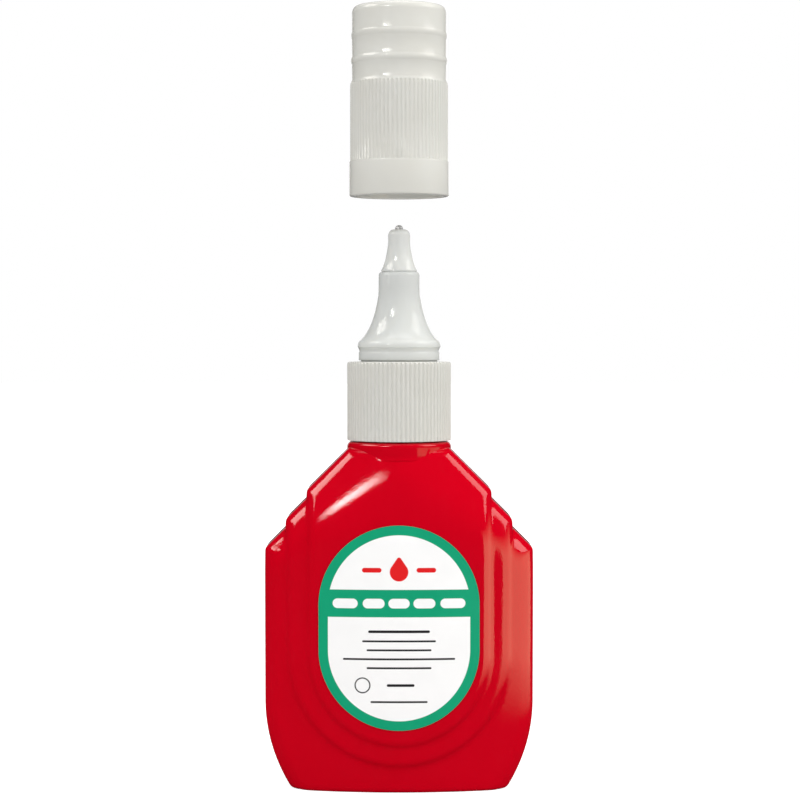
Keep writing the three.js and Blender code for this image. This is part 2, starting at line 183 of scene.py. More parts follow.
# Faint rubbing: soft streaks and specks that dull a glossy surface
def makeHandling():
    s = handlingMarks
    group, given, result = newGroup(
        "handling",
        [("Amount", "NodeSocketFloat", 0.5), ("Speck Size", "NodeSocketFloat", 0.0012)],
        [("Mask", "NodeSocketFloat")],
    )
    place = put(group, "TexCoord").outputs["Object"]
    stretch = (1.0, 1.0, s["streakStretch"])
    stretched = put(group, "Mapping", Vector=place, Scale=stretch).outputs[0]
    streaks = put(group, "TexNoise", Vector=stretched, Scale=s["streakScale"],
                  Detail=4.0).outputs["Fac"]
    speckScale = calc(group, "DIVIDE", 1.0, given.outputs["Speck Size"])
    specks = put(group, "TexVoronoi", Vector=place, Scale=speckScale).outputs["Distance"]
    streakMask = put(group, "MapRange", Value=streaks, From_Min=s["streakStart"],
                     From_Max=s["streakFull"]).outputs[0]
    speckMask = put(group, "MapRange", Value=specks, From_Min=s["speckRim"],
                    From_Max=s["speckCore"]).outputs[0]
    both = calc(group, "MAXIMUM", streakMask, speckMask)
    group.links.new(calc(group, "MULTIPLY", both, given.outputs["Amount"]), result.inputs["Mask"])
    return group


mouldedSkin = makeMouldedSkin()
handling = makeHandling()


# Each plastic mottles between a low and a high colour; the soft ones let light in to a small depth
plastics = {
    "redShell": {"low": (196, 0, 23), "high": (201, 0, 26), "roughness": 0.05,
                 "grainSize": 0.0004, "bump": 0.00003, "rubbed": 0.2, "sheen": 0.5},
    "offWhite": {"low": (207, 206, 199), "high": (214, 214, 209), "roughness": 0.12,
                 "grainSize": 0.0005, "bump": 0.000004, "rubbed": 0.12, "sheen": 0.36,
                 "soft": 0.15, "softDepth": 0.0015},
    "milkyWhite": {"low": (205, 207, 204), "high": (212, 214, 211), "roughness": 0.1,
                   "grainSize": 0.0006, "bump": 0.000005, "rubbed": 0.15, "sheen": 0.36,
                   "soft": 0.4, "softDepth": 0.003},
    "tipWhite": {"low": (216, 218, 214), "high": (223, 224, 221), "roughness": 0.1,
                 "grainSize": 0.0006, "bump": 0.000005, "rubbed": 0.15, "sheen": 0.36,
                 "soft": 0.4, "softDepth": 0.002},
    "softNatural": {"low": (226, 224, 214), "high": (236, 234, 226), "roughness": 0.45,
                    "grainSize": 0.0005, "bump": 0.00001, "rubbed": 0.2, "sheen": 0.5,
                    "soft": 0.3, "softDepth": 0.002},
}
plasticIndex = 1.49
rubbedRoughness = 0.2
softRadius = (1.0, 0.95, 0.85)


def mouldedPlastic(name):
    s = plastics[name]
    material, tree, shader = newMaterial(name)
    skin = useGroup(tree, mouldedSkin, Grain_Size=s["grainSize"])
    rub = useGroup(tree, handling, Amount=s["rubbed"])
    colour = blendColours(tree, skin["Mottle"], sRgb(*s["low"]), sRgb(*s["high"]))
    tree.links.new(colour, shader.inputs["Base Color"])
    gloss = put(tree, "MapRange", Value=rub["Mask"], To_Min=s["roughness"],
                To_Max=s["roughness"] + rubbedRoughness).outputs[0]
    tree.links.new(gloss, shader.inputs["Roughness"])
    relief = put(tree, "Bump", Height=skin["Height"], Distance=s["bump"], Strength=1.0).outputs[0]
    tree.links.new(relief, shader.inputs["Normal"])
    shader.inputs["IOR"].default_value = plasticIndex
    shader.inputs["Specular IOR Level"].default_value = s["sheen"]
    if "soft" in s:
        shader.inputs["Subsurface Weight"].default_value = s["soft"]
        shader.inputs["Subsurface Scale"].default_value = s["softDepth"]
        shader.inputs["Subsurface Radius"].default_value = softRadius
    return material


redShell = mouldedPlastic("redShell")
offWhite = mouldedPlastic("offWhite")
milkyWhite = mouldedPlastic("milkyWhite")
tipWhite = mouldedPlastic("tipWhite")
softNatural = mouldedPlastic("softNatural")

steelFinish = {
    "low": (220, 221, 222),
    "high": (236, 236, 236),
    "ringScale": 9000.0,
    "smooth": 0.36,
    "rough": 0.5,
    "bump": 0.000006,
    "metallic": 0.6,
}


# Drawn steel: fine rings round the upright axis
def makeSteel():
    s = steelFinish
    material, tree, shader = newMaterial("drawnSteel")
    place = put(tree, "TexCoord").outputs["Object"]
    squeezed = put(tree, "Mapping", Vector=place, Scale=(0.05, 0.05, 1.0)).outputs[0]
    rings = put(tree, "TexNoise", Vector=squeezed, Scale=s["ringScale"], Detail=2.0).outputs["Fac"]
    colour = blendColours(tree, rings, sRgb(*s["low"]), sRgb(*s["high"]))
    tree.links.new(colour, shader.inputs["Base Color"])
    gloss = put(tree, "MapRange", Value=rings, To_Min=s["smooth"], To_Max=s["rough"]).outputs[0]
    tree.links.new(gloss, shader.inputs["Roughness"])
    relief = put(tree, "Bump", Height=rings, Distance=s["bump"]).outputs[0]
    tree.links.new(relief, shader.inputs["Normal"])
    shader.inputs["Metallic"].default_value = s["metallic"]
    return material


drawnSteel = makeSteel()
report("materials")


# Turned pieces grow from one ring, ring by ring along an outline of (radius, height) in millimetres
def turnPiece(name, outline, columns, keepAngle=35):
    deselectAll()
    pole = 0.01  # a closed end starts as a ring this small
    radius, height = outline[0]
    radius = max(radius, pole)
    bpy.ops.mesh.primitive_circle_add(
        vertices=columns, radius=radius * mm, location=(0, 0, height * mm),
    )
    piece = bpy.context.object
    piece.name = name
    bpy.ops.object.transform_apply(location=True)
    bpy.ops.object.mode_set(mode="EDIT")
    bpy.ops.mesh.select_all(action="SELECT")
    for nextRadius, nextHeight in outline[1:]:
        nextRadius = max(nextRadius, pole)
        rise = (0, 0, (nextHeight - height) * mm)
        bpy.ops.mesh.extrude_region_move(TRANSFORM_OT_translate={"value": rise})
        if abs(nextRadius - radius) > 1e-9:
            share = nextRadius / radius
            centre = (0, 0, nextHeight * mm)
            bpy.ops.transform.resize(value=(share, share, 1), center_override=centre)
        radius, height = nextRadius, nextHeight
    bpy.ops.mesh.select_all(action="SELECT")
    bpy.ops.mesh.remove_doubles(threshold=0.0002 * mm)
    for radius, height in (outline[0], outline[-1]):
        if radius < pole:
            pickPoints(piece, lambda reach, angle, z: (reach < 2 * pole) & (abs(z - height) < pole))
            bpy.ops.mesh.merge(type="CENTER")
    bpy.ops.mesh.select_all(action="SELECT")
    bpy.ops.mesh.normals_make_consistent(inside=False)
    bpy.ops.object.mode_set(mode="OBJECT")
    bpy.ops.object.shade_smooth_by_angle(angle=math.radians(keepAngle))
    return piece


# Selects the points that a test on (reach, angle, height) picks, and stays in edit mode
def pickPoints(piece, test):
    bpy.ops.object.mode_set(mode="EDIT")
    bpy.ops.mesh.select_mode(type="VERT")
    bpy.ops.mesh.select_all(action="DESELECT")
    bpy.ops.object.mode_set(mode="OBJECT")
    coords = np.empty(len(piece.data.vertices) * 3)
    piece.data.vertices.foreach_get("co", coords)
    coords = coords.reshape(-1, 3) / mm
    x, y, z = coords[:, 0], coords[:, 1], coords[:, 2]
    piece.data.vertices.foreach_set("select", test(np.hypot(x, y), np.arctan2(y, x), z))
    bpy.ops.object.mode_set(mode="EDIT")


# Squeezes the grooves in between upright ribs, column by column
def pressRibs(piece, count, profile, depth, radius, bottom, top):
    makeActive(piece)
    for column, share in enumerate(profile):
        if share == 0:
            continue

        def inGroove(reach, angle, z):
            place = np.round(angle * count * len(profile) / (2 * math.pi)).astype(int)
            outer = (reach > radius - depth) & (z > bottom) & (z < top)
            return outer & (place % len(profile) == column)

        pickPoints(piece, inGroove)
        squeeze = 1 - share * depth / radius
        bpy.ops.transform.resize(value=(squeeze, squeeze, 1), center_override=(0, 0, 0))
    bpy.ops.mesh.select_all(action="SELECT")
    bpy.ops.mesh.normals_make_consistent(inside=False)
    bpy.ops.object.mode_set(mode="OBJECT")


# Quarter rounds between two outline points, leaving upright or leaving level
def upThenIn(start, end, steps=5):
    (r0, h0), (r1, h1) = start, end
    angles = [math.pi / 2 * i / steps for i in range(steps + 1)]
    return [(r1 + (r0 - r1) * math.cos(a), h0 + (h1 - h0) * math.sin(a)) for a in angles]


def outThenUp(start, end, steps=5):
    (r0, h0), (r1, h1) = start, end
    angles = [math.pi / 2 * i / steps for i in range(steps + 1)]
    return [(r0 + (r1 - r0) * math.sin(a), h1 + (h0 - h1) * math.cos(a)) for a in angles]


# A smooth sweep that bends towards a control point
def sweep(start, control, end, steps=14):
    points = []
    for i in range(steps + 1):
        t = i / steps
        a, b, c = (1 - t) ** 2, 2 * t * (1 - t), t * t
        points.append(tuple(a * p + b * q + c * r for p, q, r in zip(start, control, end)))
    return points


def bead(radius, height, depth, tall, steps=8):
    angles = [math.pi * i / steps for i in range(steps + 1)]
    return [(radius + depth * math.sin(a), height + tall * i / steps) for i, a in enumerate(angles)]


def applyModifier(piece, kind, name, **settings):
    makeActive(piece)
    modifier = piece.modifiers.new(name, kind)
    for key, value in settings.items():
        setattr(modifier, key, value)
    bpy.ops.object.modifier_apply(modifier=name)


# A thread or a coil climbs round the upright axis, from a closed section of (radius, height) points
def climbPiece(name, section, turns, rise, steps):
    deselectAll()
    bpy.ops.mesh.primitive_circle_add(vertices=len(section), radius=mm)
    piece = bpy.context.object
    piece.name = name
    for point, (radius, height) in zip(piece.data.vertices, section):
        point.co = (radius * mm, 0, height * mm)
    applyModifier(piece, "SCREW", "climb", axis="Z", angle=2 * math.pi * turns,
                  screw_offset=rise * mm, steps=steps, render_steps=steps)
    bpy.ops.object.mode_set(mode="EDIT")
    bpy.ops.mesh.select_all(action="SELECT")
    bpy.ops.mesh.fill_holes(sides=0)
    bpy.ops.mesh.select_all(action="SELECT")
    bpy.ops.mesh.normals_make_consistent(inside=False)
    bpy.ops.object.mode_set(mode="OBJECT")
    return piece


threadSizes = {
    "pitch": 2.5,
    "turns": 1.5,
    "depth": 0.5,
    "buried": 0.25,
    "rootWidth": 1.0,
    "crestWidth": 0.6,
    "steps": 72,
}


# The ridge stands out of a wall, inwards where the side is -1
def addThread(piece, wallRadius, side, start):
    s = threadSizes
    root, crest = wallRadius - side * s["buried"], wallRadius + side * s["depth"]
    section = [(root, -s["rootWidth"] / 2), (crest, -s["crestWidth"] / 2),
               (crest, s["crestWidth"] / 2), (root, s["rootWidth"] / 2)]
    section = [(radius, start + height) for radius, height in section]
    thread = climbPiece("thread", section, s["turns"], s["pitch"] * s["turns"], s["steps"])
    applyModifier(piece, "BOOLEAN", "threadOn", operation="UNION", object=thread, solver="EXACT")
    bpy.data.objects.remove(thread)


def finishPiece(piece, material, body, slot, *nodes):
    piece.data.materials.clear()
    piece.data.materials.append(material)
    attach(piece, body)
    if nodes:
        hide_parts(*nodes)


# The bottle's skin
bottleSizes = {
    "halfWidth": 21.25,
    "halfDepth": 10.4,
    "height": 53.6,
    "top": 54.0,
    "levels": 3,
    "sideStep": 3.3,
    "depthStep": 0.65,
    "shoulderStep": 1.3,
    "shoulderTop": 8.3,
    "levelEdge": 1.4,
    "outerEdge": 2.6,
    "leastEdge": 0.3,
    "edgeSteps": 6,
    "cornerRadius": 0.3,
    "cornerSteps": 6,
    "curveSteps": 40,
    "baseEdge": 0.5,
    "baseEdgeSteps": 5,
    "lowestStep": 3.75,
    "lowerCurve": 25.0,
    "lowerCurveHeight": 13.9,
    "crownLow": 58.0,
    "crownHigh": 86.0,
    "crownHeight": 45.0,
    "leanStart": 40.0,
    "leanSlope": 0.08,
    "leanEase": 1.0,
    "foldPlace": 49.5,
    "foldSlope": 0.4,
    "foldRise": 0.727,
    "foldRound": 2.0,
    "foldWidth": 1.7,
    "foldTaper": 0.05,
    "foldNarrowest": 0.7,
    "cageWidth": 50.0,
    "cageDepth": 9.1,
    "cageHeight": 65.0,
    "cageMiddle": 27.5,
    "cageColumns": 41,
    "cageRows": 53,
    "voxel": 0.3,
    "softenSteps": 6,
    "wall": 1.2,
    "cavityVoxel": 0.9,
}


def levelHalfWidth(level):
    s = bottleSizes
    return s["halfWidth"] - (s["levels"] - 1 - level) * s["sideStep"]


# Right side of a level from top to bottom, then mirrored; drawn in by an inset
def levelOutline(level, inset=0.0):
    s = bottleSizes
    halfWidth = levelHalfWidth(level) - inset
    top = s["top"] - inset
    shoulder = s["height"] + s["shoulderTop"] - level * s["shoulderStep"] - inset * math.sqrt(2)
    radius = s["cornerRadius"]
    run = radius * math.tan(math.pi / 8)
    centreX = halfWidth - radius
    centreZ = shoulder - halfWidth - run
    side = [(shoulder - top, top)]
    for i in range(s["cornerSteps"] + 1):
        angle = math.pi / 4 * (1 - i / s["cornerSteps"])
        side.append((centreX + radius * math.cos(angle), centreZ + radius * math.sin(angle)))
    if level == s["levels"] - 1:
        radius = s["lowerCurve"] - inset
        low = -s["outerEdge"] - s["lowerCurveHeight"]
        last = math.asin(low / radius)
        centreX, centreZ = halfWidth - radius, s["lowerCurveHeight"]
    else:
        radius, last = halfWidth, -math.pi / 2
        centreX, centreZ = 0.0, s["lowestStep"] + levelHalfWidth(s["levels"] - 2)
    for i in range(s["curveSteps"] + 1):
        angle = last * i / s["curveSteps"]
        side.append((centreX + radius * math.cos(angle), centreZ + radius * math.sin(angle)))
    left = [(-x, z) for x, z in reversed(side) if x > 1e-6]
    return side + left


# One level as a flat slab with rounded edges, before it is crowned
def levelSlab(level, inset=0.0):
    s = bottleSizes
    outer = level == s["levels"] - 1
    edge = max((s["outerEdge"] if outer else s["levelEdge"]) - inset, s["leastEdge"])
    depth = s["halfDepth"] - level * s["depthStep"] - inset
    points = levelOutline(level, inset)
    curve = bpy.data.curves.new(f"level{level}", "CURVE")
    curve.dimensions = "2D"
    curve.fill_mode = "BOTH"
    spline = curve.splines.new("POLY")
    spline.points.add(len(points) - 1)
    for point, (x, z) in zip(spline.points, points):
        point.co = (x * mm, z * mm, 0, 1)
    spline.use_cyclic_u = True
    curve.offset = -edge * mm
    curve.bevel_depth = edge * mm
    curve.bevel_resolution = s["edgeSteps"]
    curve.extrude = (depth - edge) * mm
    slab = bpy.data.objects.new(f"level{level}", curve)
    bpy.context.collection.objects.link(slab)
    makeActive(slab)
    bpy.ops.object.convert(target="MESH")
    slab = bpy.context.object
    slab.rotation_euler = (math.pi / 2, 0, 0)
    bpy.ops.object.transform_apply(rotation=True)
    bpy.ops.object.mode_set(mode="EDIT")
    bpy.ops.mesh.select_all(action="SELECT")
    bpy.ops.mesh.remove_doubles(threshold=0.001 * mm)
    if outer:
        heel, steps = s["baseEdge"], s["baseEdgeSteps"]
        bpy.ops.mesh.bisect(
            plane_co=(0, 0, (inset + heel) * mm), plane_no=(0, 0, -1),
            use_fill=True, clear_outer=True,
        )
        lowWidth = abs(levelOutline(level, inset)[-1][0])
        angles = [math.pi / 2 * i / steps for i in range(steps + 1)]
        rings = [(heel * (1 - math.cos(a)), heel * math.sin(a)) for a in angles]
        for (inBefore, downBefore), (inAfter, downAfter) in zip(rings, rings[1:]):
            drop = (0, 0, (downBefore - downAfter) * mm)
            bpy.ops.mesh.extrude_region_move(TRANSFORM_OT_translate={"value": drop})
            across = (lowWidth - inAfter) / (lowWidth - inBefore)
            deep = (depth - inAfter) / (depth - inBefore)
            bpy.ops.transform.resize(value=(across, deep, 1), center_override=(0, 0, 0))
    bpy.ops.mesh.select_all(action="SELECT")
    bpy.ops.mesh.normals_make_consistent(inside=False)
    bpy.ops.object.mode_set(mode="OBJECT")
    return slab


def joinPieces(name, pieces):
    deselectAll()
    for piece in pieces:
        piece.select_set(True)
    bpy.context.view_layer.objects.active = pieces[0]
    bpy.ops.object.join()
    joined = bpy.context.object
    joined.name = name
    return joined


# How much the front and back are drawn in: a crown, and a lean to the neck with a soft fold
# to each shoulder
def faceFall(x, z):
    s = bottleSizes
    past = max(0.0, z - s["leanStart"])
    lean = s["leanSlope"] * past ** 2 / (past + s["leanEase"])
    side = math.hypot(x, s["foldRound"]) - s["foldRound"]
    width = max(s["foldWidth"] - s["foldTaper"] * side, s["foldNarrowest"])
    along = (z + s["foldRise"] * side - s["foldPlace"]) / width
    fold = s["foldSlope"] * width * math.log1p(math.exp(along))
    share = min(max(z / s["crownHeight"], 0), 1)
    crown = s["crownLow"] + (s["crownHigh"] - s["crownLow"]) * share
    return x ** 2 / (2 * crown) + lean + fold


# A lattice that draws flat slabs and plates in to the crowned faces
def makeCrownCage():
    s = bottleSizes
    deselectAll()
    bpy.ops.object.add(type="LATTICE", location=(0, 0, s["cageMiddle"] * mm))
    cage = bpy.context.object
    cage.name = "crownCage"
    width, depth, height = s["cageWidth"], 2 * s["cageDepth"], s["cageHeight"]
    cage.scale = (width * mm, depth * mm, height * mm)
    lattice = cage.data
    lattice.points_u, lattice.points_v, lattice.points_w = s["cageColumns"], 2, s["cageRows"]
    lattice.interpolation_type_u = "KEY_BSPLINE"
    lattice.interpolation_type_v = "KEY_LINEAR"
    lattice.interpolation_type_w = "KEY_BSPLINE"
    for point in lattice.points:
        x, side, z = point.co
        fall = faceFall(x * width, s["cageMiddle"] + z * height)
        point.co_deform = (x, side * (1 - fall / s["cageDepth"]), z)
    return cage


crownCage = makeCrownCage()


def bodySkin(name, inset, voxel):
    slabs = [levelSlab(level, inset) for level in range(bottleSizes["levels"])]
    slabs = joinPieces(name + "Slabs", slabs)
    skin = slabs.copy()
    skin.data = slabs.data.copy()
    skin.name = name
    bpy.context.collection.objects.link(skin)
    applyModifier(skin, "REMESH", "voxels", mode="VOXEL", voxel_size=voxel * mm)
    applyModifier(skin, "SHRINKWRAP", "fit", target=slabs, wrap_method="NEAREST_SURFACEPOINT")
    applyModifier(skin, "SMOOTH", "soften", factor=0.5, iterations=bottleSizes["softenSteps"])
    bpy.data.objects.remove(slabs)
    applyModifier(skin, "LATTICE", "crown", object=crownCage)
    return skin


neckSizes = {
    "sides": 96,
    "ringRadius": 8.3,
    "ringTop": 54.85,
    "ringRound": 0.7,
    "radius": 6.4,
    "bore": 4.9,
    "top": 64.6,
    "threadStart": 58.2,
    "rootDrop": 2.4,
    "footDrop": 1.45,
    "drillLength": 8.0,
    "drillDrop": 2.0,
}


def makeBottle():
    s, n = bottleSizes, neckSizes
    skin = bodySkin("bottleSkin", 0.0, s["voxel"])
    report("bottle skin")
    root = s["height"] - n["rootDrop"]
    foot = s["height"] - n["footDrop"]
    neck = turnPiece("neck", [
        (n["ringRadius"] - 1.5, root),
        (n["ringRadius"] - 0.2, root + 0.4),
        *sweep((n["ringRadius"] + 0.1, foot), (n["ringRadius"] + 0.01, foot + 0.3),
               (n["ringRadius"], foot + 0.7), 6),
        (n["ringRadius"], foot + 0.8),
        (n["ringRadius"], n["ringTop"] - n["ringRound"] - 0.1),
        *upThenIn((n["ringRadius"], n["ringTop"] - n["ringRound"]),
                  (n["ringRadius"] - n["ringRound"], n["ringTop"])),
        (n["radius"] + 0.3, n["ringTop"]),
        *outThenUp((n["radius"] + 0.3, n["ringTop"]), (n["radius"], n["ringTop"] + 0.3), 4),
        *upThenIn((n["radius"], n["top"] - 0.3), (n["radius"] - 0.3, n["top"]), 4),
        *upThenIn((n["bore"] + 0.2, n["top"]), (n["bore"], n["top"] - 0.2), 3),
        (n["bore"], root),
        (n["ringRadius"] - 1.5, root),
    ], n["sides"])
    addThread(neck, n["radius"], 1, n["threadStart"])
    cavity = bodySkin("cavity", s["wall"], s["cavityVoxel"])
    applyModifier(skin, "BOOLEAN", "hollow", operation="DIFFERENCE", object=cavity, solver="EXACT")
    bpy.data.objects.remove(cavity)
    deselectAll()
    bpy.ops.mesh.primitive_cylinder_add(
        vertices=n["sides"], radius=n["bore"] * mm, depth=n["drillLength"] * mm,
        location=(0, 0, (s["height"] - n["drillDrop"]) * mm),
    )
    drill = bpy.context.object
    applyModifier(skin, "BOOLEAN", "bore", operation="DIFFERENCE", object=drill, solver="EXACT")
    bpy.data.objects.remove(drill)
    applyModifier(skin, "BOOLEAN", "neckOn", operation="UNION", object=neck, solver="EXACT")
    bpy.data.objects.remove(neck)
    makeActive(skin)
    pickPoints(skin, lambda reach, angle, z: z < 0.01)
    bpy.ops.transform.resize(value=(1, 1, 0), center_override=(0, 0, 0))
    bpy.ops.object.mode_set(mode="OBJECT")
    bpy.ops.object.shade_smooth_by_angle(angle=math.radians(40))
    finishPiece(skin, redShell, "bottle_body", "red_shell", "bottle")
    report("bottle")
    return skin


makeBottle()

collarSizes = {
    "radius": 8.3,
    "bottom": 55.0,
    "top": 67.6,
    "bore": 7.1,
    "hole": 6.25,
    "ceiling": 66.2,
    "threadStart": 56.95,
    "edge": 0.45,
    "ribs": 72,
    "ribDepth": 0.17,
    "ribProfile": (0, 0.12, 0.7, 1, 1, 0.7, 0.12, 0),
}


def makeCollar():
    s = collarSizes
    collar = turnPiece("collarRing", [
        (s["bore"], s["bottom"] + 0.15),
        (s["bore"] + 0.15, s["bottom"]),
        (s["radius"] - 0.1, s["bottom"]),
        (s["radius"], s["bottom"] + 0.08),
        (s["radius"], s["bottom"] + 0.5),
        (s["radius"], (s["bottom"] + s["top"]) / 2),
        (s["radius"], s["top"] - s["edge"] - 0.3),
        *upThenIn((s["radius"], s["top"] - s["edge"]), (s["radius"] - s["edge"], s["top"]), 6),
        (s["hole"] + 0.15, s["top"]),
        (s["hole"], s["top"] - 0.15),
        (s["hole"], s["ceiling"]),
        (s["bore"], s["ceiling"]),
        (s["bore"], s["bottom"] + 0.15),
    ], s["ribs"] * len(s["ribProfile"]), 50)
    pressRibs(collar, s["ribs"], s["ribProfile"], s["ribDepth"], s["radius"],
              s["bottom"] - 1, s["top"] - 0.2)
    addThread(collar, s["bore"], -1, s["threadStart"])
    finishPiece(collar, offWhite, "collar_body", "white_plastic", "collar")
    report("collar")


makeCollar()

nozzleSizes = {
    "sides": 128,
    "plugBottom": 59.5,
    "plugRadius": 4.7,
    "plugBore": 3.9,
    "flangeRadius": 6.9,
    "flangeBottom": 65.2,
    "flangeTop": 66.2,
    "waist": 6.1,
    "ledge": 67.75,
    "baseRadius": 6.48,
    "groove": 6.38,
    "bead": 6.64,
    "beadBottom": 69.3,
    "beadTop": 70.5,
    "stemRadius": 3.44,
    "stemBottom": 77.5,
    "stemTop": 79.6,
    "spigot": 3.28,
    "top": 81.9,
    "topRound": 0.65,
    "socket": 2.45,
    "socketBottom": 76.4,
    "coneBore": 70.6,
}


def makeNozzle():
    s = nozzleSizes
    nozzle = turnPiece("nozzleCone", [
        (s["plugBore"], s["plugBottom"]),
        (s["plugRadius"] - 0.2, s["plugBottom"]),
        (s["plugRadius"], s["plugBottom"] + 0.4),
        (s["plugRadius"], s["flangeBottom"]),
        (s["flangeRadius"], s["flangeBottom"]),
        (s["flangeRadius"], s["flangeTop"]),
        (s["waist"], s["flangeTop"]),
        (s["waist"], s["ledge"]),
        (s["baseRadius"] - 0.1, s["ledge"]),
        (s["baseRadius"], s["ledge"] + 0.12),
        (s["baseRadius"], s["beadBottom"] - 0.35),
        *sweep((s["baseRadius"], s["beadBottom"] - 0.35), (s["groove"], s["beadBottom"] - 0.2),
               (s["groove"], s["beadBottom"]), 4),
        *sweep((s["groove"], s["beadBottom"]), (s["groove"], s["beadBottom"] + 0.35),
               (s["bead"], s["beadBottom"] + 0.6), 5),
        *sweep((s["bead"], s["beadTop"] - 0.45), (s["bead"] - 0.02, s["beadTop"] + 0.25),
               (s["waist"], s["beadTop"] + 0.6), 7),
        *sweep((s["waist"], s["beadTop"] + 0.6),
               ((s["waist"] + s["stemRadius"]) / 2 - 0.52, s["stemBottom"] - 4.7),
               (s["stemRadius"], s["stemBottom"]), 18),
        *sweep((s["stemRadius"], s["stemBottom"]), (s["spigot"], s["stemBottom"] + 0.8),
               (s["spigot"], s["stemTop"]), 8)[1:],
        *upThenIn((s["spigot"], s["top"] - s["topRound"]),
                  (s["spigot"] - s["topRound"] + 0.1, s["top"]), 8),
        (s["socket"], s["top"]),
        (s["socket"], s["socketBottom"]),
        (s["plugBore"], s["coneBore"]),
        (s["plugBore"], s["plugBottom"]),
    ], s["sides"])
    finishPiece(nozzle, milkyWhite, "nozzle_body", "translucent_plastic", "nozzle")
    report("nozzle")


makeNozzle()

tipSizes = {
    "sides": 96,
    "plugBottom": 76.9,
    "plugRadius": 2.35,
    "seatRadius": 1.6,
    "bottom": 81.9,
    "baseRadius": 2.86,
    "endRadius": 1.76,
    "endRound": 1.05,
    "top": 88.65,
    "pinHole": 0.75,
    "pinHoleLength": 0.85,
    "chamber": 1.2,
    "retainerTop": 78.1,
}


def makeTip():
    s = tipSizes
    chamberTop = s["top"] - s["pinHoleLength"] - (s["chamber"] - s["pinHole"])
    tip = turnPiece("nozzleEnd", [
        (s["seatRadius"], s["plugBottom"]),
        (s["plugRadius"], s["plugBottom"]),
        (s["plugRadius"], s["bottom"]),
        (s["baseRadius"] - 0.08, s["bottom"]),
        (s["baseRadius"], s["bottom"] + 0.08),
        (s["baseRadius"], s["bottom"] + 0.2),
        *sweep((s["baseRadius"], s["bottom"] + 0.22), (s["endRadius"] + 0.3, s["bottom"] + 1.6),
               (s["endRadius"], s["bottom"] + 4.6), 14),
        *upThenIn((s["endRadius"], s["top"] - s["endRound"]), (s["pinHole"] + 0.12, s["top"]), 8),
        (s["pinHole"] + 0.08, s["top"]),
        (s["pinHole"], s["top"] - 0.08),
        (s["pinHole"], s["top"] - s["pinHoleLength"]),
        (s["chamber"], chamberTop),
        (s["chamber"], s["retainerTop"]),
        (s["seatRadius"], s["retainerTop"]),
        (s["seatRadius"], s["plugBottom"]),
    ], s["sides"])
    finishPiece(tip, tipWhite, "nozzle_body", "translucent_plastic", "nozzle_tip")
    report("tip")


makeTip()

pinSizes = {
    "sides": 48,
    "tailBottom": 77.1,
    "tailRadius": 0.45,
    "headBottom": 86.3,
    "headRadius": 1.0,
    "headTop": 87.2,
    "radius": 0.64,
    "top": 89.35,
}


def makePin():
    s = pinSizes
    pin = turnPiece("writingPin", [
        (0, s["tailBottom"]),
        (s["tailRadius"] - 0.1, s["tailBottom"]),
        (s["tailRadius"], s["tailBottom"] + 0.1),
        (s["tailRadius"], s["headBottom"]),
        (s["headRadius"] - 0.08, s["headBottom"]),
        (s["headRadius"], s["headBottom"] + 0.08),
        (s["headRadius"], s["headTop"]),
        (s["radius"], s["headTop"] + s["headRadius"] - s["radius"]),
        *upThenIn((s["radius"], s["top"] - s["radius"]), (0, s["top"]), 8),
    ], s["sides"])
    finishPiece(pin, drawnSteel, "pin_body", "steel", "valve_pin")
    report("pin")


makePin()

coilSizes = {
    "wireRadius": 0.14,
    "radius": 0.825,
    "curls": 7,
    "bottom": 78.1,
    "top": 86.25,
    "stepsPerCurl": 24,
    "wireSides": 12,
    "pressed": 7.43,
}


# The valve's coil at its free length, from the retainer up to the pin's head (the real coil
# shortens as the pin goes in)
def makeCoil():
    s = coilSizes
    wire = s["wireRadius"]
    start = s["bottom"] + wire
    angles = [2 * math.pi * i / s["wireSides"] for i in range(s["wireSides"])]
    section = [(s["radius"] + wire * math.cos(a), start + wire * math.sin(a)) for a in angles]
    length = s["top"] - s["bottom"]
    coil = climbPiece("valveCoil", section, s["curls"], length - 2 * wire,
                      s["curls"] * s["stepsPerCurl"])
    bpy.ops.object.shade_smooth()
    finishPiece(coil, drawnSteel, "nozzle_body", "steel", "valve_spring")
    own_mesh(coil)
    report("coil")


makeCoil()

capSizes = {
    "bottom": 93.9,
    "height": 30.1,
    "skirtRadius": 7.95,
    "skirtHeight": 5.5,
    "bandRadius": 7.8,
    "bandTop": 18.45,
    "bandEase": 0.95,
    "radius": 7.52,
    "edgeIn": 0.7,
    "edgeDown": 1.1,
    "roof": 1.1,
    "mouth": 6.8,
    "bore": 6.6,
    "mouthDepth": 5.0,
    "beads": ((20.9, 0.17), (24.9, 0.12)),
    "beadHeight": 1.2,
    "ribs": 72,
    "ribDepth": 0.13,
    "ribProfile": (0, 0.12, 0.7, 1, 1, 0.7, 0.12, 0),
}


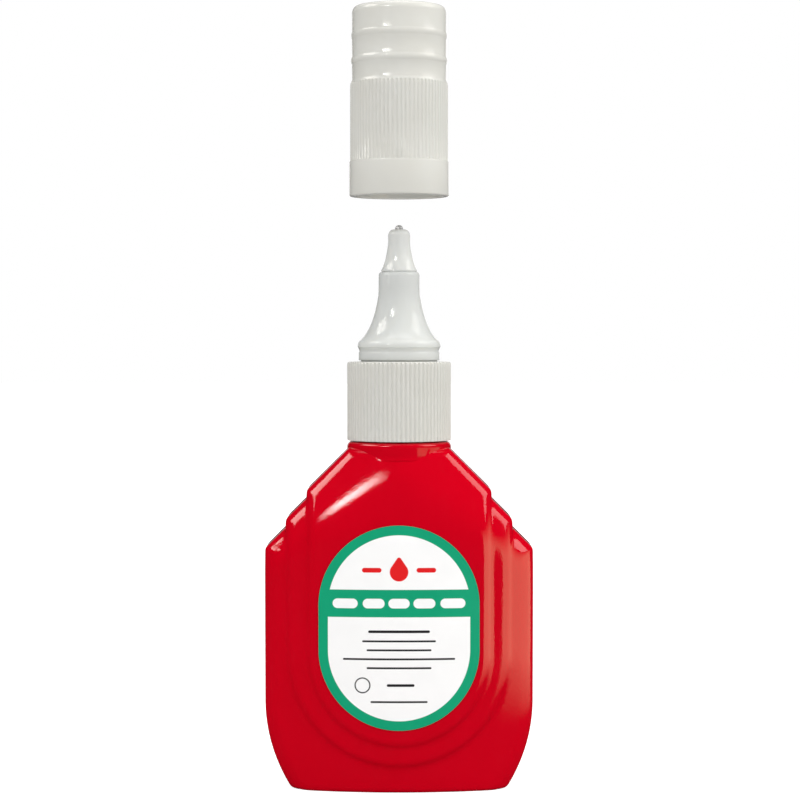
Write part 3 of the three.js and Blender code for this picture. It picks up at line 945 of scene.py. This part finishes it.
def makeCap():
    s = capSizes
    ribTop = s["bandTop"] - s["bandEase"]
    roof = s["height"] - s["roof"]
    outline = [
        (0, roof),
        (s["bore"] - 0.3, roof),
        (s["bore"], roof - 0.3),
        (s["bore"], s["mouthDepth"] + 0.4),
        (s["mouth"], s["mouthDepth"]),
        (s["mouth"], 0.2),
        (s["mouth"] + 0.2, 0),
        (s["skirtRadius"] - 0.25, 0),
        *outThenUp((s["skirtRadius"] - 0.25, 0), (s["skirtRadius"], 0.25), 4),
        (s["skirtRadius"], s["skirtHeight"] - 0.12),
        (s["skirtRadius"] - 0.03, s["skirtHeight"] - 0.03),
        (s["bandRadius"], s["skirtHeight"]),
        (s["bandRadius"], s["skirtHeight"] + 0.12),
        (s["bandRadius"], (s["skirtHeight"] + ribTop) / 2),
        (s["bandRadius"], ribTop - 0.25),
        *sweep((s["bandRadius"], ribTop), (s["bandRadius"] - 0.02, ribTop + 0.4),
               (s["radius"], s["bandTop"]), 6),
    ]
    for rise, depth in s["beads"]:
        outline += bead(s["radius"], rise, depth, s["beadHeight"])
    top = s["height"]
    outline += upThenIn((s["radius"], top - s["edgeDown"]), (s["radius"] - s["edgeIn"], top), 8)
    outline += [(s["radius"] - 1.4, top), (s["radius"] - 1.7, top - 0.12), (0, top - 0.12)]
    outline = [(radius, s["bottom"] + height) for radius, height in outline]
    cap = turnPiece("pushCap", outline, s["ribs"] * len(s["ribProfile"]), 50)
    pressRibs(cap, s["ribs"], s["ribProfile"], s["ribDepth"], s["bandRadius"],
              s["bottom"] + s["skirtHeight"] + 0.05, s["bottom"] + ribTop + 0.4)
    finishPiece(cap, offWhite, "cap_body", "white_plastic", "cap")
    report("cap")


makeCap()

labelSizes = {
    "sides": 128,
    "halfWidth": 12.6,
    "bottom": 10.1,
    "height": 32.05,
    "gap": 0.05,
    "thickness": 0.15,
    "rings": 16,
    "border": 1.5,
    "bandBottom": 27.85,
    "bandTop": 32.15,
}

# The print, in millimetres: bars run from left to right, rules also have their height and thickness
printSizes = {
    "softEdge": 0.04,
    "dashes": ((-9.6, -7.2), (-4.9, -3.0), (-0.9, 0.9), (3.0, 4.9), (7.2, 9.6)),
    "dashThickness": 1.5,
    "dropBars": 9,
    "dropBottom": 34.9,
    "dropRise": 0.24,
    "dropWidth": 2.9,
    "dropTaper": 0.27,
    "dropSoftEdge": 0.05,
    "strokes": ((-5.4, -3.1), (3.1, 5.4)),
    "strokeHeight": 35.2,
    "strokeThickness": 0.75,
    "rules": (
        (-4.6, 4.6, 25.6, 0.42), (-5.6, 5.6, 24.1, 0.3), (-4.9, 4.9, 22.7, 0.3),
        (-8.6, 8.6, 21.3, 0.3), (-4.9, 4.9, 19.9, 0.3), (-1.7, 2.2, 17.2, 0.42),
        (-4.3, 4.3, 14.6, 0.3),
    ),
    "ringAcross": -5.7,
    "ringHeight": 17.2,
    "ringOutside": 2.5,
    "ringInside": 2.1,
}


def pointReach(tree, across, upward):
    squares = [calc(tree, "MULTIPLY", side, side) for side in (across, upward)]
    return calc(tree, "SQRT", calc(tree, "ADD", *squares))


# A rounded bar of ink as a mask, from a point in millimetres
def makeInkBar():
    group, given, result = newGroup(
        "inkBar",
        [("Point", "NodeSocketVector", (0, 0, 0)), ("Left", "NodeSocketFloat", 0.0),
         ("Right", "NodeSocketFloat", 0.0), ("Height", "NodeSocketFloat", 0.0),
         ("Half Thickness", "NodeSocketFloat", 0.3), ("Soft Edge", "NodeSocketFloat", 0.04)],
        [("Mask", "NodeSocketFloat")],
    )
    split = put(group, "SeparateXYZ", Vector=given.outputs["Point"]).outputs
    nearest = put(group, "Clamp", Value=split["X"], Min=given.outputs["Left"],
                  Max=given.outputs["Right"]).outputs[0]
    across = calc(group, "SUBTRACT", split["X"], nearest)
    upward = calc(group, "SUBTRACT", split["Z"], given.outputs["Height"])
    distance = pointReach(group, across, upward)
    inner = calc(group, "SUBTRACT", given.outputs["Half Thickness"], given.outputs["Soft Edge"])
    outer = calc(group, "ADD", given.outputs["Half Thickness"], given.outputs["Soft Edge"])
    mask = put(group, "MapRange", Value=distance, From_Min=outer, From_Max=inner).outputs[0]
    group.links.new(mask, result.inputs["Mask"])
    return group


inkBar = makeInkBar()


def makePrintedFilm():
    s, p = labelSizes, printSizes
    material, tree, shader = newMaterial("printedFilm")
    place = put(tree, "TexCoord").outputs["Object"]
    whole = put(tree, "VectorMath", {"operation": "SCALE"}, _0=place, Scale=1000.0).outputs[0]
    split = put(tree, "SeparateXYZ", Vector=whole).outputs
    # On the back the print reads the right way round too
    facing = calc(tree, "SIGN", calc(tree, "MULTIPLY", split["Y"], -1.0))
    across = calc(tree, "MULTIPLY", split["X"], facing)
    point = put(tree, "CombineXYZ", X=across, Y=split["Y"], Z=split["Z"]).outputs[0]
    lowCentre = s["bottom"] + s["halfWidth"]
    highCentre = s["bottom"] + s["height"] - s["halfWidth"]

    def bar(left, right, height, thickness, soft=p["softEdge"]):
        return useGroup(tree, inkBar, Point=point, Left=left, Right=right, Height=height,
                        Half_Thickness=thickness / 2, Soft_Edge=soft)["Mask"]

    def anyOf(masks):
        total = masks[0]
        for mask in masks[1:]:
            total = calc(tree, "MAXIMUM", total, mask)
        return total

    spine = put(tree, "Clamp", Value=split["Z"], Min=lowCentre, Max=highCentre).outputs[0]
    upward = calc(tree, "SUBTRACT", split["Z"], spine)
    reach = pointReach(tree, split["X"], upward)
    edge, soft = s["halfWidth"] - s["border"], p["softEdge"]
    border = put(tree, "MapRange", Value=reach, From_Min=edge - soft,
                 From_Max=edge + soft).outputs[0]
    middle = (s["bandBottom"] + s["bandTop"]) / 2
    fromBand = calc(tree, "ABSOLUTE", calc(tree, "SUBTRACT", split["Z"], middle))
    half = (s["bandTop"] - s["bandBottom"]) / 2
    band = put(tree, "MapRange", Value=fromBand, From_Min=half + soft,
               From_Max=half - soft).outputs[0]
    green = calc(tree, "MAXIMUM", border, band)

    dashes = anyOf([bar(left, right, middle, p["dashThickness"]) for left, right in p["dashes"]])
    drop = anyOf([
        bar(0, 0, p["dropBottom"] + i * p["dropRise"], p["dropWidth"] - i * p["dropTaper"],
            p["dropSoftEdge"])
        for i in range(p["dropBars"])
    ])
    strokes = anyOf([bar(left, right, p["strokeHeight"], p["strokeThickness"])
                     for left, right in p["strokes"]])
    red = calc(tree, "MAXIMUM", drop, strokes)
    rules = anyOf([bar(*rule) for rule in p["rules"]])
    outside, inside = [bar(p["ringAcross"], p["ringAcross"], p["ringHeight"], width)
                       for width in (p["ringOutside"], p["ringInside"])]
    ring = calc(tree, "SUBTRACT", outside, inside)
    ink = calc(tree, "MAXIMUM", rules, ring)

    skin = useGroup(tree, mouldedSkin, Grain_Size=0.00025, Wave_Size=0.004)
    paper = blendColours(tree, skin["Mottle"], sRgb(245, 245, 245), sRgb(251, 251, 251))
    greenInk = blendColours(tree, skin["Mottle"], sRgb(0, 155, 112), sRgb(0, 162, 118))
    colour = blendColours(tree, green, paper, greenInk)
    colour = blendColours(tree, calc(tree, "MULTIPLY", dashes, band), colour, paper)
    colour = blendColours(tree, red, colour, sRgb(226, 22, 26))
    colour = blendColours(tree, ink, colour, sRgb(38, 38, 40))
    tree.links.new(colour, shader.inputs["Base Color"])
    gloss = put(tree, "MapRange", Value=skin["Mottle"], To_Min=0.32, To_Max=0.42).outputs[0]
    tree.links.new(gloss, shader.inputs["Roughness"])
    shader.inputs["Specular IOR Level"].default_value = 0.2
    relief = put(tree, "Bump", Height=skin["Height"], Distance=0.000006).outputs[0]
    tree.links.new(relief, shader.inputs["Normal"])
    return material


printedFilm = makePrintedFilm()


def makeLabel(name, node, turned):
    s = labelSizes
    deselectAll()
    bpy.ops.mesh.primitive_circle_add(vertices=s["sides"], radius=s["halfWidth"] * mm)
    label = bpy.context.object
    label.name = name
    straight = s["height"] - 2 * s["halfWidth"]
    pickPoints(label, lambda reach, angle, z: angle > 1e-4)
    bpy.ops.transform.translate(value=(0, straight * mm, 0))
    bpy.ops.mesh.select_all(action="SELECT")
    centre = (0, straight / 2 * mm, 0)
    for ring in range(s["rings"]):
        bpy.ops.mesh.extrude_region_move()
        share = (s["rings"] - ring - 0.9) / (s["rings"] - ring + 0.1)
        bpy.ops.transform.resize(value=(share, share, 1), center_override=centre)
    bpy.ops.mesh.edge_face_add()
    bpy.ops.mesh.select_all(action="SELECT")
    bpy.ops.mesh.extrude_region_move(TRANSFORM_OT_translate={"value": (0, 0, s["thickness"] * mm)})
    bpy.ops.mesh.select_all(action="SELECT")
    bpy.ops.mesh.normals_make_consistent(inside=False)
    bpy.ops.object.mode_set(mode="OBJECT")
    label.rotation_euler = (math.pi / 2, 0, 0)
    front = bottleSizes["halfDepth"] + s["gap"]
    label.location = (0, -front * mm, (s["bottom"] + s["halfWidth"]) * mm)
    bpy.ops.object.transform_apply(location=True, rotation=True)
    applyModifier(label, "LATTICE", "crown", object=crownCage)
    if turned:
        label.rotation_euler = (0, 0, math.pi)
        bpy.ops.object.transform_apply(rotation=True)
    bpy.ops.object.shade_smooth_by_angle(angle=math.radians(40))
    finishPiece(label, printedFilm, "bottle_body", "printed_label", node)


makeLabel("frontPrint", "front_label", False)
makeLabel("rearPrint", "rear_label", True)
bpy.data.objects.remove(crownCage)
report("labels")

for node, material in (
    ("neck_gasket", softNatural), ("spring_retainer", softNatural), ("cap_seal", softNatural),
    ("mixing_ball", drawnSteel),
):
    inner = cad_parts[node]
    inner.data.materials.clear()
    inner.data.materials.append(material)

# Studio: white all round for the camera, a narrow bright box at the front left and soft ones
# round about. Glossy rays see it dark, apart from the lamps and what lies straight behind
studioSizes = {
    "floorReach": 3.0,
    "floorLow": 0.53,
    "floorHigh": 0.57,
    "floorGrain": 60.0,
    "behindStart": 0.9,
    "behindFull": 0.97,
    "worldLight": 0.81,
    "fromRight": 0.35,
    "fromAbove": 0.4,
    "worldGloss": 0.01,
    "floorGloss": 0.015,
    "floorLift": 0.8,
    "aimHeight": 0.055,
}
lamps = {
    "keyBox": {"azimuth": -30, "elevation": 31, "distance": 0.7, "shape": "ELLIPSE",
               "width": 0.3, "height": 0.078, "power": 1.25, "tint": (1.0, 0.98, 0.95),
               "hotSpot": 0.22, "hotReach": 0.6, "hotPeak": 1.3, "hotRim": 0.25},
    "lowRightBox": {"azimuth": 67, "elevation": 0, "distance": 0.0605, "shape": "RECTANGLE",
                    "width": 0.066, "height": 0.059, "power": 0.034, "tint": (1.0, 0.8, 0.52),
                    "aimHeight": 0.03, "onlyGloss": True, "lowFade": 0.22, "highFade": 0.35},
    "leftBox": {"azimuth": -84, "elevation": 41, "distance": 0.6, "shape": "RECTANGLE",
                "width": 0.36, "height": 0.2, "power": 1.55, "tint": (1.0, 0.96, 0.9),
                "onlyGloss": True},
    "rightBox": {"azimuth": 82, "elevation": 39, "distance": 0.6, "shape": "RECTANGLE",
                 "width": 0.3, "height": 0.3, "power": 1.0, "tint": (1.0, 0.97, 0.92)},
    "topBox": {"azimuth": 0, "elevation": 86, "distance": 0.7, "shape": "RECTANGLE",
               "width": 0.5, "height": 0.4, "power": 1.2, "tint": (1.0, 1.0, 1.0)},
}


# A lamp that is brightest at one place along its width, or fades towards its lower and upper edge
def shapeGlow(lamp, s):
    tree = emptyTree(lamp.data)
    surface = put(tree, "NewGeometry").outputs["Parametric"]
    place = put(tree, "SeparateXYZ", Vector=surface).outputs
    if "hotSpot" in s:
        away = calc(tree, "ABSOLUTE", calc(tree, "SUBTRACT", place["X"], s["hotSpot"]))
        strength = put(tree, "MapRange", Value=away, From_Max=s["hotReach"],
                       To_Min=s["hotPeak"], To_Max=s["hotRim"]).outputs[0]
    else:
        low, high = [
            put(tree, "MapRange", Value=place["Y"], From_Min=start, From_Max=end).outputs[0]
            for start, end in ((0.0, s["lowFade"]), (1.0, 1.0 - s["highFade"]))
        ]
        strength = calc(tree, "MULTIPLY", low, high)
    glow = put(tree, "Emission", Strength=strength)
    put(tree, "OutputLight", Surface=glow.outputs[0])


def makeLamps():
    for name, s in lamps.items():
        around, up = math.radians(s["azimuth"]), math.radians(s["elevation"])
        level = math.cos(up)
        toLamp = Vector((math.sin(around) * level, -math.cos(around) * level, math.sin(up)))
        aim = Vector((0, 0, s.get("aimHeight", studioSizes["aimHeight"])))
        bpy.ops.object.light_add(type="AREA", location=aim + toLamp * s["distance"])
        lamp = bpy.context.object
        lamp.name = name
        lamp.rotation_euler = toLamp.to_track_quat("Z", "Y").to_euler()
        lamp.data.shape = s["shape"]
        lamp.data.size = s["width"]
        lamp.data.size_y = s["height"]
        lamp.data.energy = s["power"]
        lamp.data.color = s["tint"]
        lamp.visible_camera = False
        lamp.visible_diffuse = not s.get("onlyGloss", False)
        if "hotSpot" in s or "lowFade" in s:
            shapeGlow(lamp, s)


def makeWorld():
    s = studioSizes
    world = bpy.data.worlds.new("studio")
    bpy.context.scene.world = world
    tree = emptyTree(world)
    path = put(tree, "LightPath").outputs
    direction = put(tree, "TexCoord").outputs["Generated"]
    toward = put(tree, "SeparateXYZ", Vector=direction).outputs
    behind = put(tree, "MapRange", Value=toward["Y"], From_Min=s["behindStart"],
                 From_Max=s["behindFull"]).outputs[0]
    gloss = put(tree, "MapRange", Value=behind, To_Min=s["worldGloss"], To_Max=1.0).outputs[0]
    light = s["worldLight"]
    sideways = calc(tree, "MULTIPLY_ADD", toward["X"], light * s["fromRight"], light)
    soft = calc(tree, "MULTIPLY_ADD", toward["Z"], light * s["fromAbove"], sideways)
    level = put(tree, "Mix", _0=path["Is Glossy Ray"], _2=soft, _3=gloss).outputs[0]
    seen = calc(tree, "MAXIMUM", path["Is Camera Ray"], path["Is Transmission Ray"])
    strength = put(tree, "Mix", _0=seen, _2=level, _3=1.0).outputs[0]
    background = put(tree, "Background", Color=(1, 1, 1, 1), Strength=strength)
    put(tree, "OutputWorld", Surface=background.outputs[0])


def grey(value):
    return (value, value, value, 1)


def makeFloor():
    s = studioSizes
    deselectAll()
    bpy.ops.mesh.primitive_plane_add(size=2 * s["floorReach"])
    floor = bpy.context.object
    floor.name = "studioFloor"
    material = bpy.data.materials.new("paleFloor")
    tree = emptyTree(material)
    place = put(tree, "TexCoord").outputs["Object"]
    grain = put(tree, "TexNoise", Vector=place, Scale=s["floorGrain"], Detail=3.0).outputs["Fac"]
    pale = blendColours(tree, grain, grey(s["floorLow"]), grey(s["floorHigh"]))
    path = put(tree, "LightPath").outputs
    colour = blendColours(tree, path["Is Glossy Ray"], pale, grey(s["floorGloss"]))
    matt = put(tree, "BsdfDiffuse", Color=colour)
    lifted = calc(tree, "MULTIPLY", path["Is Camera Ray"], s["floorLift"])
    lift = put(tree, "Emission", Color=(1, 1, 1, 1), Strength=lifted)
    both = put(tree, "AddShader", _0=matt.outputs[0], _1=lift.outputs[0])
    put(tree, "OutputMaterial", Surface=both.outputs[0])
    floor.data.materials.append(material)


makeLamps()
makeWorld()
makeFloor()
bpy.context.scene.view_settings.view_transform = "Standard"
report("studio")
